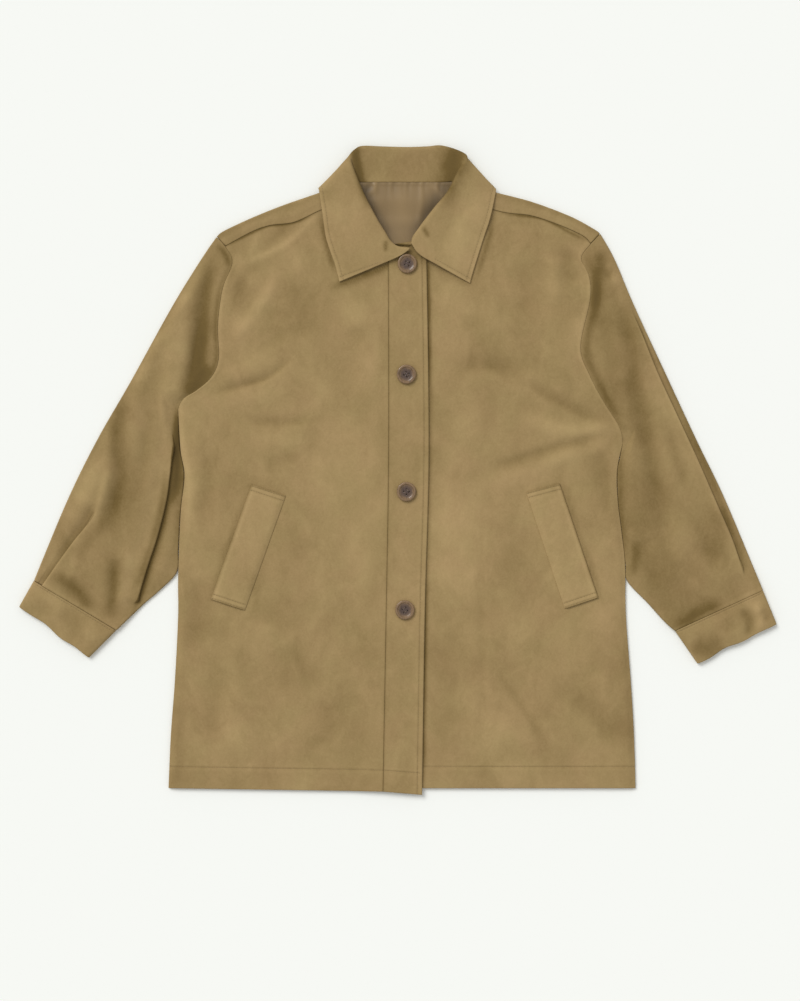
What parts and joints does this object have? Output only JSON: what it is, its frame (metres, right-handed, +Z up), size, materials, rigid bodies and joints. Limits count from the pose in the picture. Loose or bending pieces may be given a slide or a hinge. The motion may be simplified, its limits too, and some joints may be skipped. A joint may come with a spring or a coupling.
{
  "type": "suede jacket",
  "caption": "Hip-length suede jacket lying flat on its back, with a turned-down collar, a buttoned front placket, slanted pocket welts and cuffed long sleeves.",
  "frame": {"origin": "centre of the footprint, on the surface that the jacket lies on", "axes": "+X across the jacket towards the wearer's left sleeve, +Y from the hem to the collar, +Z up out of the front"},
  "size_m": [0.9454, 0.8101, 0.0182],
  "materials": {
    "suede": "matte nap",
    "lining": "satin weave",
    "horn": "polished horn"
  },
  "bodies": {
    "root": {"back": "suede", "front_right": "suede", "front_left": "suede", "placket": "suede", "sleeve_right": "suede", "sleeve_left": "suede", "cuff_right": "suede", "cuff_left": "suede", "collar": "suede", "welt_right": "suede", "welt_left": "suede", "back_lining": "lining", "button_1": "horn", "button_2": "horn", "button_3": "horn", "button_4": "horn"}
  },
  "joints": []
}
